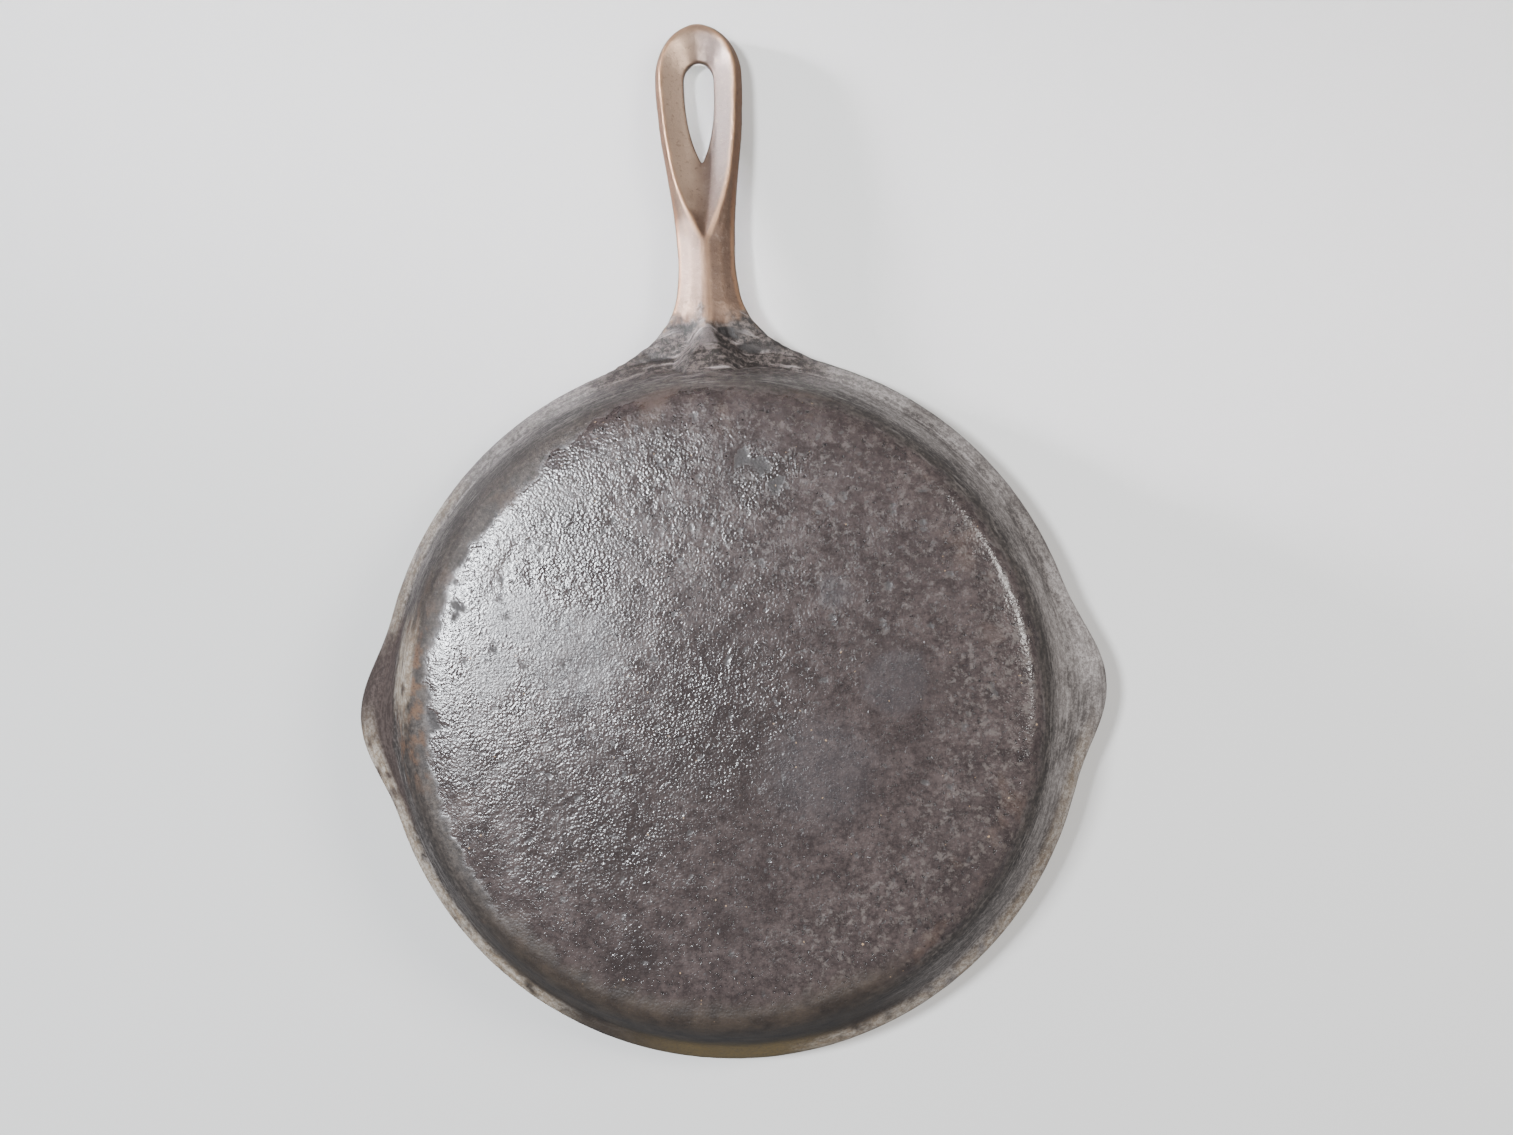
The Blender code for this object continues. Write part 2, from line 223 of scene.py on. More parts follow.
def inside_profile():
    """From the lip down the inside of the wall, round the inner corner to the middle of the floor."""
    lip = [
        (RIM_RADIUS - 3.2, DEPTH),
        (RIM_RADIUS - 4.4, DEPTH - 0.4),
        (inner_radius(DEPTH - 1.5), DEPTH - 1.5),
    ]
    corner = []
    for step in range(17):
        turn = (1 - step / 16) * math.pi / 2
        radius = mix(FLOOR_RADIUS, inner_radius(HEEL_TOP), math.sin(turn))
        corner.append((radius, mix(FLOOR_THICKNESS, HEEL_TOP, 1 - math.cos(turn))))
    return lip + corner + [(0.0, FLOOR_THICKNESS)]


def spaced(points, step, rounding=0.9):
    """The profile with its corners rounded, as points about a step apart, and their distances along it."""
    points = np.array(points)
    length = np.hypot(*np.diff(points, axis=0).T)
    distance = np.concatenate([[0.0], np.cumsum(length)])
    fine = np.arange(0.0, distance[-1], 0.1)
    line = np.stack([np.interp(fine, distance, points[:, k]) for k in (0, 1)], axis=1)
    reach = int(4 * rounding / 0.1)
    weights = np.exp(-0.5 * (np.arange(-reach, reach + 1) * 0.1 / rounding) ** 2)
    weights /= weights.sum()
    before = 2 * line[0] - line[reach:0:-1]
    after = 2 * line[-1] - line[-2 : -reach - 2 : -1]
    mirrored = np.concatenate([before, line, after])
    rounded = np.stack([np.convolve(mirrored[:, k], weights, "valid") for k in (0, 1)], axis=1)
    at = np.linspace(0.0, fine[-1], int(round(fine[-1] / step)) + 1)
    return np.stack([np.interp(at, fine, rounded[:, k]) for k in (0, 1)], axis=1)


def spout_bulge(turn, height):
    """How far the wall stands out at an angle from a spout's middle, in degrees, and a height."""
    aside = 1.0 - (turn / SPOUT_HALF_ANGLE) ** 2
    if aside <= 0.0:
        return 0.0
    return SPOUT_REACH * aside**SPOUT_SHARPNESS * ease((height - SPOUT_BOTTOM) / (DEPTH - SPOUT_BOTTOM))


def steps_round(radius, steps):
    """Fewer faces round a small ring: half as many each time the radius halves."""
    halvings = max(0, math.ceil(math.log2(BASE_RADIUS / 2 / max(radius, 0.1))))
    return max(20, steps >> halvings)


def ring(radius, height, steps):
    """Points round the pan, standing out at the spouts."""
    points = []
    for step in range(steps):
        bearing = 360.0 * step / steps
        turn = abs((bearing + 90.0) % 180.0 - 90.0)
        reach = radius + spout_bulge(turn, height)
        angle = math.radians(bearing)
        points.append((reach * math.cos(angle), reach * math.sin(angle), height))
    return points


def ring_faces(outer, outer_start, inner, inner_start):
    """Faces between two rings, where the outer has as many points as the inner, or twice as many."""
    faces = []
    if outer == inner:
        for i in range(outer):
            j = (i + 1) % outer
            faces.append((outer_start + i, outer_start + j, inner_start + j, inner_start + i))
        return faces
    for i in range(inner):
        j = (i + 1) % inner
        a, b, c = (outer_start + (2 * i + k) % outer for k in range(3))
        d, e = inner_start + i, inner_start + j
        faces += [(d, a, b), (d, b, e), (e, b, c)]
    return faces


def pan_mesh():
    outside = spaced(outside_profile(), OUTSIDE_STEP)
    inside = spaced(inside_profile(), INSIDE_STEP)
    profile = [(point, TURN_STEPS) for point in outside[1:]]
    profile += [(point, TURN_STEPS // 2) for point in inside[:-1]]
    points = [(0.0, 0.0, 0.0)]
    faces = []
    rings = []
    for (radius, height), most_steps in profile:
        steps = steps_round(radius, most_steps)
        rings.append((steps, len(points)))
        points += ring(radius, height, steps)
    top = len(points)
    points.append((0.0, 0.0, FLOOR_THICKNESS))
    for (count, start), (next_count, next_start) in zip(rings, rings[1:]):
        if count >= next_count:
            faces += ring_faces(count, start, next_count, next_start)
        else:
            faces += [face[::-1] for face in ring_faces(next_count, next_start, count, start)]
    count, start = rings[0]
    faces += [(0, start + (i + 1) % count, start + i) for i in range(count)]
    count, start = rings[-1]
    faces += [(top, start + i, start + (i + 1) % count) for i in range(count)]
    return new_mesh("pan_casting", points, faces)


def new_mesh(name, points, faces):
    """A mesh from points in millimetres, with its faces turned outwards."""
    mesh = bpy.data.meshes.new(name)
    mesh.from_pydata([(x * MM, y * MM, z * MM) for x, y, z in points], [], faces)
    shape = bmesh.new()
    shape.from_mesh(mesh)
    bmesh.ops.recalc_face_normals(shape, faces=shape.faces)
    shape.to_mesh(mesh)
    shape.free()
    return mesh


def place(name, data):
    """A new object in the scene that shows the mesh, light or camera given."""
    obj = bpy.data.objects.new(name, data)
    bpy.context.scene.collection.objects.link(obj)
    return obj


def apply_modifiers(obj):
    """The object keeps the shape that its modifiers make, as its own mesh."""
    bpy.context.view_layer.update()
    graph = bpy.context.evaluated_depsgraph_get()
    shaped = bpy.data.meshes.new_from_object(obj.evaluated_get(graph))
    obj.modifiers.clear()
    obj.data = shaped


# The handle, as sections across it at a reach from the pan's axis


def half_width(reach):
    end_start = HANDLE_REACH - HANDLE_END_LENGTH
    if reach <= end_start:
        return along(HALF_WIDTHS, reach)
    share = (reach - end_start) / HANDLE_END_LENGTH
    return HALF_WIDTHS[-1][1] * math.sqrt(max(0.0, 1.0 - share * share))


def handle_section(reach):
    """Points round the handle: over the top, round the edge and across the crests below."""
    wide = half_width(reach)
    top = HANDLE_TOP + HANDLE_RISE * (reach - RIM_RADIUS)
    thick = along(THICKNESSES, reach)
    bottom = top - thick
    edge = top - min(HANDLE_EDGE, 0.7 * thick)
    crest = min(along(CREST_OFFSETS, reach), max(wide - CREST_INSET, 0.5 * wide))
    fork = ease((reach - TROUGH_START) / 4.0)
    trough = min(TROUGH_DEPTH, 0.55 * along(CREST_OFFSETS, reach)) * fork
    bowl_start = HANDLE_REACH - HANDLE_END_LENGTH
    bowl = min(1.0, max(0.0, (reach - bowl_start) / (HANDLE_END_LENGTH - CREST_INSET)))
    hollow = ease((GUSSET_REACH - reach) / GUSSET_LENGTH)
    half = [
        (0.0, top - THUMB_DISH),
        (0.45 * wide, top - 0.7 * THUMB_DISH),
        (0.80 * wide, top),
        (0.94 * wide, top - 0.8),
        (wide, mix(top, edge, 0.55)),
        (0.96 * wide, edge),
        (mix(0.96 * wide, crest, mix(0.5, 0.72, hollow)), mix(edge, bottom, mix(0.58, 0.22, hollow))),
        (crest, bottom),
    ]
    for share in (0.85, 0.7, 0.5, 0.25, 0.0):
        out = math.sqrt(share**2 * (1 - bowl**2) + bowl**2)
        half.append((share * crest, bottom + trough * math.cos(out * math.pi / 2)))
    other_half = [(-x, z) for x, z in reversed(half[1:-1])]
    return [(x, -reach, z) for x, z in half + other_half]


def loft_faces(count, rows):
    """Faces between rows of equal length, with both ends capped."""
    faces = []
    for row in range(rows - 1):
        for i in range(count):
            j = (i + 1) % count
            a, b = row * count, (row + 1) * count
            faces.append((a + i, a + j, b + j, b + i))
    faces.append(tuple(range(count)))
    faces.append(tuple(range((rows - 1) * count, rows * count)))
    return faces


def handle_loft():
    end_start = HANDLE_REACH - HANDLE_END_LENGTH
    reaches = list(np.arange(HANDLE_START, end_start, 1.5))
    reaches += [end_start + HANDLE_END_LENGTH * math.sin(math.radians(turn)) for turn in range(0, 86, 5)]
    rows = [handle_section(reach) for reach in reaches]
    faces = loft_faces(len(rows[0]), len(rows))
    return new_mesh("handle_loft", [point for row in rows for point in row], faces)


def eye_outline():
    """The teardrop in plan: a half-ellipse at the handle's end and tapering sides to a point."""
    steps = 24
    side = []
    for step in range(steps):
        turn = step / steps * math.pi / 2
        reach = EYE_WIDEST_REACH + (EYE_END_REACH - EYE_WIDEST_REACH) * math.cos(turn)
        side.append((EYE_HALF_WIDTH * math.sin(turn), -reach))
    for step in range(steps + 1):
        share = step / steps
        width = EYE_HALF_WIDTH * (1 - share**EYE_POINT_POWER)
        side.append((width, (EYE_WIDEST_REACH - EYE_POINT_REACH) * share - EYE_WIDEST_REACH))
    return side + [(-x, y) for x, y in reversed(side[1:-1])]


def prism_mesh(name, outline, low, high):
    """A plan outline raised from one height to another."""
    rows = [(x, y, z) for z in (low, high) for x, y in outline]
    return new_mesh(name, rows, loft_faces(len(outline), 2))


def turned_sector(name, profile, middle, half_angle, steps):
    """A closed profile swept part of the way round the pan's axis."""
    rows = []
    for step in range(steps + 1):
        angle = math.radians(mix(middle - half_angle, middle + half_angle, step / steps))
        rows += [(radius * math.cos(angle), radius * math.sin(angle), z) for radius, z in profile]
    return new_mesh(name, rows, loft_faces(len(profile), steps + 1))


def outer_at(height):
    """Radius of the pan's outside at a height."""
    profile = np.array([point for point in outside_profile() if point[1] > 0.0])
    return float(np.interp(height, profile[:, 1], profile[:, 0]))


def wall_patch():
    """A slice of the wall just under its surface, so that the handle's root blends into it."""
    heights = np.linspace(13.0, 48.6, 14)
    outside = [(outer_at(height) - 0.45, height) for height in heights]
    inside = [(inner_radius(height) + 0.7, height) for height in reversed(heights)]
    return turned_sector("wall_patch", outside + inside, -90.0, 30.0, 60)


def pan_core():
    """The room inside the wall's middle, to cut the root to."""
    heights = np.linspace(5.0, 60.0, 14)
    profile = [(0.5 * (outer_at(height) + inner_radius(height)), height) for height in heights]
    return turned_sector("pan_core", [(20.0, 5.0)] + profile + [(20.0, 60.0)], -90.0, 70.0, 90)


def cut(obj, mesh):
    """Takes the mesh away from the object."""
    cutter = place(mesh.name, mesh)
    modifier = obj.modifiers.new(mesh.name, "BOOLEAN")
    modifier.operation = "DIFFERENCE"
    modifier.object = cutter
    modifier.solver = "EXACT"
    apply_modifiers(obj)
    bpy.data.objects.remove(cutter, do_unlink=True)


def swell(obj, amount):
    """Moves the surface outwards, to make up for what smoothing takes off."""
    modifier = obj.modifiers.new("Swell", "DISPLACE")
    modifier.strength = amount
    modifier.mid_level = 0.0


def handle_object():
    handle = place("handle_casting", handle_loft())
    cut(handle, prism_mesh("eye", eye_outline(), 0.0, 100.0))
    cut(handle, pan_core())
    shape = bmesh.new()
    shape.from_mesh(handle.data)
    shape.from_mesh(wall_patch())
    shape.to_mesh(handle.data)
    shape.free()
    remesh = handle.modifiers.new("Fine", "REMESH")
    remesh.mode = "VOXEL"
    remesh.voxel_size = VOXEL
    smooth = handle.modifiers.new("Worn", "SMOOTH")
    smooth.factor = 0.5
    smooth.iterations = SMOOTHING_ROUNDS
    swell(handle, SMOOTHING_LOSS)
    apply_modifiers(handle)
    return handle


# The surface: relief in the mesh, and marks that the material reads. Places are rows of x, y, z

LATTICE_SLOPES = np.random.default_rng(8).normal(size=(256, 3))


def lumps(places, size, seed=0):
    """Smooth noise, about -1 to 1, with lumps of about this size."""
    at = places / size + seed * np.array([17.31, 31.73, 7.97])
    cell = np.floor(at).astype(np.int64)
    part = at - cell
    fade = part**3 * (part * (part * 6.0 - 15.0) + 10.0)
    total = np.zeros(len(places))
    for corner in np.ndindex(2, 2, 2):
        near = cell + corner
        mixed = (near * (73856093, 19349663, 83492791)).astype(np.int64)
        which = (mixed[:, 0] ^ mixed[:, 1] ^ mixed[:, 2]) % 251
        weight = np.prod(np.where(np.array(corner) == 1, fade, 1.0 - fade), axis=1)
        total += weight * (LATTICE_SLOPES[which] * (part - corner)).sum(axis=1)
    return total


def rough(places, size, seed=0, octaves=4):
    """Lumps with finer lumps on them, about -1 to 1."""
    total = np.zeros(len(places))
    for octave in range(octaves):
        total += 0.55**octave * lumps(places, size * 0.5**octave, seed + 3 * octave)
    return total


def ramp(value, low, high):
    """0 at low, 1 at high, with level ends. High may be the smaller."""
    share = np.clip((value - low) / (high - low), 0.0, 1.0)
    return share * share * (3.0 - 2.0 * share)


def sector(bearing, middle, half, soft):
    """1 within half of the middle bearing, in degrees, fading over a further soft."""
    aside = np.abs((bearing - middle + 180.0) % 360.0 - 180.0)
    return ramp(aside, half + soft, half)


def spot(places, x, y, radius, soft):
    """1 near a place on the base, fading over the soft distance outside the radius."""
    distance = np.hypot(places[:, 0] - x, places[:, 1] - y)
    return ramp(distance, radius + soft, radius)


# Patches where crust has flaked off the base: x, y and size
FLAKES = [
    (-103.0, -3.0, 2.4),
    (-103.5, 2.0, 2.2),
    (-91.5, -40.0, 1.9),
    (-92.0, -36.0, 1.6),
    (12.0, -86.0, 2.0),
    (18.0, -83.0, 2.8),
    (24.0, -77.0, 2.4),
]

# Painted shade in the hollows at the root: x, reach, half length and half height
ROOT_SHADE_SPOTS = [
    (19.0, 133.5, 9.0, 2.4),
    (-9.0, 142.5, 6.0, 1.8),
    (9.0, 139.5, 5.5, 2.0),
    (-22.0, 131.0, 8.0, 1.6),
]

# Coarse dark crust: x, y, radius and how far it fades
COARSE = [
    (-2.0, 8.0, 8.0, 34.0),
    (-40.0, 47.0, 4.0, 24.0),
    (-33.0, 84.0, 3.0, 14.0),
    (-50.0, -58.0, 3.0, 22.0),
    (-15.0, -90.0, 3.0, 14.0),
    (20.0, -79.0, 6.0, 9.0),
]

# Craggy crust that stands proud: x, y, radius and how far it fades
CRAGS = [
    (-42.0, -54.0, 6.0, 9.0),
    (-55.0, -38.0, 4.0, 8.0),
    (-48.0, -74.0, 5.0, 10.0),
    (-20.0, -82.0, 4.0, 10.0),
    (-26.0, 4.0, 5.0, 10.0),
    (-33.0, 34.0, 5.0, 10.0),
    (-50.0, 60.0, 6.0, 12.0),
    (-34.0, 78.0, 5.0, 12.0),
    (22.0, -78.0, 4.0, 8.0),
]

# Smooth patches, painted with a blue-grey sheen: x, y, radius and how far they fade
SLICK = [
    (62.0, -5.0, 9.0, 4.0),
    (42.0, -38.0, 5.0, 3.0),
    (-70.0, -34.0, 7.0, 6.0),
    (-80.0, -16.0, 5.0, 5.0),
    (-50.0, -20.0, 10.0, 14.0),
    (34.0, 24.0, 10.0, 16.0),
]


def largest(places, spots, warp):
    """The strongest of several spots, with ragged outlines."""
    shifted = places + warp[:, None] * (1.0, -0.7, 0.0)
    return np.max([spot(shifted, *each) for each in spots], axis=0)


class Skin:
    """Where each point of a surface is on the casting, and what its surface is like there."""

    def __init__(self, places, inside):
        self.places = places
        self.inside = inside
        self.height = places[:, 2]
        self.radius = np.hypot(places[:, 0], places[:, 1])
        self.bearing = np.degrees(np.arctan2(places[:, 1], places[:, 0])) % 360.0
        self.reach = -places[:, 1]
        self.ragged = rough(places, 9.0, 20)
        self.fine = rough(places, 3.4, 25, 2)
        self.flake = self.find_flakes()
        self.coarse = largest(places, COARSE, 5.0 * self.ragged)
        self.crag = self.find_crags()
        self.slick = largest(places, SLICK, 2.5 * self.ragged) * (1.0 - self.flake)
        self.base = self.find_base()
        self.bronze = ramp(self.reach + 4.0 * self.ragged + 2.0 * self.fine, 143.0, 149.0)

    def find_flakes(self):
        spots = [(x, y, 0.2 * radius, 2.2 * radius) for x, y, radius in FLAKES]
        field = largest(self.places, spots, 1.5 * lumps(self.places, 7.0, 6))
        return ramp(field + 0.60 * rough(self.places, 3.4, 5, 3), 0.50, 0.62)

    def find_crags(self):
        field = largest(self.places, CRAGS, 3.0 * self.ragged)
        return ramp(0.4 * field + 0.6 * rough(self.places, 3.6, 31, 3), 0.36, 0.52) * ramp(field, 0.1, 0.4)

    def find_base(self):
        """The crust of the base, with a ragged outline."""
        limit = 113.5 - 9.0 * sector(self.bearing, 190.0, 40.0, 30.0)
        beyond = self.radius + 1.8 * self.ragged + 1.2 * self.fine - limit
        return ramp(beyond, 1.6, -1.6) * ramp(self.height, 8.0, 4.5) * (1.0 - self.inside)

    def relief(self):
        """How far the surface stands out from the plain casting, in millimetres."""
        crust = ramp(self.reach + 5.0 * self.ragged, 153.0, 143.0)
        sides = 0.10 * lumps(self.places, 2.6, 10) + 0.13 * lumps(self.places, 8.0, 11)
        sides *= 1.0 - 0.5 * ramp(self.height, 38.0, 42.0)
        root = self.find_root() * (0.26 * lumps(self.places, 3.1, 14) + 0.34 * lumps(self.places, 7.5, 15))
        grip = 0.05 * lumps(self.places, 11.0, 16)
        outside = (1.0 - crust) * grip + crust * (sides + root)
        outside += self.base * (self.base_relief() - sides)
        worn = np.clip((self.radius - WORN_FROM) / (BASE_RADIUS + 2.0 - WORN_FROM), 0.0, 1.0)
        outside -= WORN_DEPTH * worn**2 * ramp(self.height, 12.0, 2.0)
        return np.where(self.inside > 0.5, 0.02 * lumps(self.places, 9.0, 9), outside)

    def base_relief(self):
        """Pebbled crust with lumps, a ledge where one coat of it ends, and flaked patches."""
        pebbles = 2.2 * np.abs(lumps(self.places, 2.6, 2)) + 1.4 * np.abs(lumps(self.places, 4.6, 3)) - 0.8
        patchy = ramp(rough(self.places, 22.0, 30), -0.5, 0.6)
        amount = 0.03 + 0.04 * patchy + 0.045 * self.coarse - 0.02 * self.slick
        swells = 0.07 * lumps(self.places, 12.0, 4) + 0.16 * lumps(self.places, 30.0, 7)
        edge = 93.0 + 4.0 * lumps(self.places, 26.0, 8) + 1.5 * self.ragged
        ledge = ramp(self.radius, edge, edge + 1.5) * sector(self.bearing, 222.0, 34.0, 20.0)
        return amount * pebbles + swells + 0.22 * ledge + 0.24 * self.crag - 0.24 * self.flake

    def find_root(self):
        """Crust where the handle meets the wall."""
        aside = ramp(np.abs(self.places[:, 0]) + 4.0 * self.ragged, 60.0, 34.0)
        near = ramp(self.reach + 3.0 * self.ragged, 112.0, 122.0)
        return aside * near * (1.0 - self.bronze)

    def marks(self):
        """What the material reads, each from 0 to 1."""
        outside = 1.0 - self.inside
        heel = ramp(self.radius + 1.6 * self.ragged, 118.5, 114.0)
        band = ramp(self.height + 0.5 * self.ragged, 37.5, 39.5) * (1.0 - self.bronze)
        # Painted shade: the far side of the pan, opposite the handle, is painted dark on its heel and wall
        # and on the last few millimetres of the base
        low_edge = ramp(self.radius + 2.0 * self.ragged, 100.0, 108.0)
        off_base = np.maximum(ramp(self.height, 1.0, 4.0), low_edge)
        far_side = sector(self.bearing, 100.0, 30.0, 20.0) * 0.9 * off_base
        # Painted shade: the outer part of the left spout is painted dark brown where it lies in shade
        spout_wall = ramp(self.radius + 2.0 * self.ragged, 121.0, 125.0)
        left_spout = sector(self.bearing, 180.0, 15.0, 6.0) * spout_wall
        # Painted glow: a warm gold-brown band on the far wall towards the rim, where soft light falls
        painted_glow = sector(self.bearing, 92.0, 6.0, 16.0) * ramp(self.height, 24.0, 40.0)
        return {
            "inside": self.inside,
            "base": self.base,
            "heel": heel * (1.0 - self.base) * outside,
            "band": band * outside,
            "bronze": self.bronze * outside,
            "flake": self.flake * self.base,
            "coarse": self.coarse * self.base,
            "slick": self.slick * self.base,
            "chalk": self.find_chalk() * outside,
            "ash": self.find_ash() * outside,
            "rust": self.find_rust() * outside,
            "soot": 0.9 * self.find_root() * outside * ramp(self.height, 49.0, 43.0),
            # painted shade on the far side
            "far": far_side * outside,
            # painted shade on the left spout
            "left_spout_shade": 0.95 * left_spout * outside,
            "copper": self.find_copper(),
            "upper": self.find_upper() * outside,
            # Painted light on the loop's inner slopes: a warm lit tone on the left, a cool grey reflection
            # tint on the right
            "tan": self.find_slope(-1.0),
            "cool": self.find_slope(1.0),
            "gusset": self.find_gusset(),
            # painted shade in the hollows at the root
            "hollow": self.find_root_shade() * outside,
            # painted glow on the far wall
            "painted_glow": painted_glow * outside,
            "scour": self.find_scour() * self.base,
        }

    def find_copper(self):
        """Rubbed copper-brown skin on the handle's outer sides."""
        reaches = np.arange(HANDLE_START, HANDLE_REACH, 0.5)
        width = np.interp(self.reach, reaches, [half_width(reach) for reach in reaches])
        return ramp(np.abs(self.places[:, 0]) / width + 0.03 * self.ragged, 0.82, 0.93) * self.bronze

    def find_upper(self):
        """The handle's top and the upper part of its sides, as dark as the inside of the pan."""
        top = HANDLE_TOP + HANDLE_RISE * (self.reach - RIM_RADIUS)
        return ramp(self.height - top + 0.5 * self.ragged, -5.0, -2.2) * self.bronze

    def crest(self):
        """How far each crest of the handle is from its middle line."""
        return np.interp(self.reach, *zip(*CREST_OFFSETS))

    def find_slope(self, side):
        """The inner slope of the loop on one side, painted with light: a warm lit tone on the left, a cool
        grey reflection tint on the right.
        """
        aside = side * self.places[:, 0]
        within = ramp(self.crest() - aside, 0.0, 1.5) * ramp(aside + 1.5 * self.ragged, -4.0, 7.0)
        return within * ramp(self.reach + 4.0 * self.ragged, 182.0, 196.0)

    def find_gusset(self):
        """The smooth triangle that the handle's ridge ends in."""
        within = ramp(np.abs(self.places[:, 0]) - self.crest(), 0.8, -0.6)
        under = ramp(self.height, 45.0, 41.0)
        between_ends = ramp(self.reach + self.ragged, 133.0, 135.5) * ramp(self.reach, 144.0, 140.0)
        return 0.8 * within * under * between_ends

    def find_root_shade(self):
        """Painted shade in the hollows where the root meets the wall."""
        shifted = self.places + 1.2 * self.fine[:, None]
        found = [
            np.hypot((shifted[:, 0] - x) / half_length, (shifted[:, 1] + reach) / half_height)
            for x, reach, half_length, half_height in ROOT_SHADE_SPOTS
        ]
        return ramp(np.min(found, axis=0), 1.25, 0.75) * ramp(self.height, 45.0, 41.0)

    def find_chalk(self):
        """Chalky pale film on the right spout and the walls beside it."""
        spout = sector(self.bearing, 357.0, 13.0, 12.0)
        side = 0.7 * sector(self.bearing, 316.0, 26.0, 16.0) + 0.5 * sector(self.bearing, 36.0, 26.0, 14.0)
        side += 0.5 * sector(self.bearing, 228.0, 20.0, 12.0) * ramp(self.height, 22.0, 34.0)
        cover = 0.35 + 0.65 * ramp(rough(self.places, 17.0, 21) + 0.3 * self.ragged, -0.7, 0.3)
        return np.minimum(1.0, spout + side) * cover * ramp(self.height, 8.0, 24.0)

    def find_ash(self):
        """Cream ash caught along the rim band at the lower left, and beside the left spout."""
        band = ramp(self.height, 36.0, 39.0)
        lower_left = sector(self.bearing, 150.0, 24.0, 10.0) * band
        on_heel = ramp(self.radius, 110.0, 113.0) * ramp(self.radius, 124.0, 120.0)
        beside_spout = sector(self.bearing + 3.0 * self.ragged, 189.0, 4.0, 7.0) * on_heel
        beside_spout = np.maximum(beside_spout, 0.6 * sector(self.bearing, 207.0, 10.0, 8.0) * band)
        lower_right = 0.6 * sector(self.bearing, 44.0, 30.0, 12.0) * band
        cover = ramp(rough(self.places, 6.0, 22) + 0.25 * self.ragged, -1.1, 0.2)
        return np.maximum(np.maximum(lower_left, beside_spout), lower_right) * cover

    def find_rust(self):
        """Rust at the left heel and spout, and faint blooms near the edge of the base."""
        near_edge = ramp(self.radius, 103.0, 107.0) * ramp(self.radius, 122.0, 118.0)
        left = 0.65 * sector(self.bearing, 184.0, 8.0, 14.0) * near_edge
        left = left * ramp(rough(self.places, 4.5, 24), -0.15, 0.55)
        blooms = 0.14 * ramp(rough(self.places, 15.0, 23), 0.35, 0.8) * ramp(self.radius, 90.0, 104.0)
        not_far_side = 1.0 - sector(self.bearing, 100.0, 30.0, 12.0)
        return np.maximum(left, blooms * ramp(self.height, 12.0, 4.0)) * not_far_side

    def find_scour(self):
        """Pale brown scuffs, thickest on the right of the base."""
        right = sector(self.bearing, 30.0, 34.0, 30.0) * ramp(self.radius, 66.0, 88.0)
        upper = 0.6 * sector(self.bearing, 300.0, 30.0, 30.0) * ramp(self.radius, 30.0, 60.0)
        return np.maximum(right, upper)


def vectors_of(items, name, count):
    """A vector property of every item, as rows of x, y, z."""
    values = np.empty(count * 3, np.float32)
    items.foreach_get(name, values)
    return values.reshape(-1, 3).astype(np.float64)


def set_mark(mesh, name, values):
    layer = mesh.attributes.new(name, "FLOAT", "POINT")
    layer.data.foreach_set("value", values.astype(np.float32))


def carve(obj, is_inside):
    """Moves each vertex along its normal by the relief and stores the marks of its place."""
    mesh = obj.data
    count = len(mesh.vertices)
    places = vectors_of(mesh.vertices, "co", count) / MM
    normals = vectors_of(mesh.vertices, "normal", count)
    skin = Skin(places, is_inside(places, normals).astype(np.float64))
    for name, values in skin.marks().items():
        set_mark(mesh, name, values)
    places += normals * skin.relief()[:, None]
    places[:, 2] = np.maximum(places[:, 2], 0.0)
    mesh.vertices.foreach_set("co", (places * MM).astype(np.float32).ravel())
    mesh.shade_smooth()
    mesh.update()


def off_the_eye(places):
    """0 at the hanging eye's outline and 1 away from it."""
    reach = -places[:, 1]
    taper = np.clip((EYE_WIDEST_REACH - reach) / (EYE_WIDEST_REACH - EYE_POINT_REACH), 0.0, 1.0)
    turn = np.clip((reach - EYE_WIDEST_REACH) / (EYE_END_REACH + 2.0 - EYE_WIDEST_REACH), 0.0, 1.0)
    width = EYE_HALF_WIDTH * (1.0 - taper**EYE_POINT_POWER) * np.sqrt(1.0 - turn**2)
    aside = ramp(np.abs(places[:, 0]) - width, 0.8, 2.4)
    past_its_ends = np.maximum(ramp(reach, 251.5, 253.0), ramp(reach, 208.0, 206.0))
    return np.maximum(aside, past_its_ends)


def convexity(mesh, rounds=3):
    """How strongly each vertex stands out from its neighbours, as on an edge."""
    count = len(mesh.vertices)
    places = vectors_of(mesh.vertices, "co", count) / MM
    normals = vectors_of(mesh.vertices, "normal", count)
    ends = np.empty(len(mesh.edges) * 2, np.int32)
    mesh.edges.foreach_get("vertices", ends)
    ends = ends.reshape(-1, 2)
    degree = np.bincount(ends.ravel(), minlength=count)

    def neighbours_mean(values):
        total = np.zeros((count, values.shape[1]))
        for k in range(values.shape[1]):
            total[:, k] += np.bincount(ends[:, 0], values[ends[:, 1], k], count)
            total[:, k] += np.bincount(ends[:, 1], values[ends[:, 0], k], count)
        return total / degree[:, None]

    smoothed = places
    for _ in range(rounds):
        smoothed = neighbours_mean(smoothed)
    out = ((places - smoothed) * normals).sum(axis=1)
    for _ in range(2):
        out = neighbours_mean(out[:, None])[:, 0]
    return out


# The material: one iron whose finish follows the marks


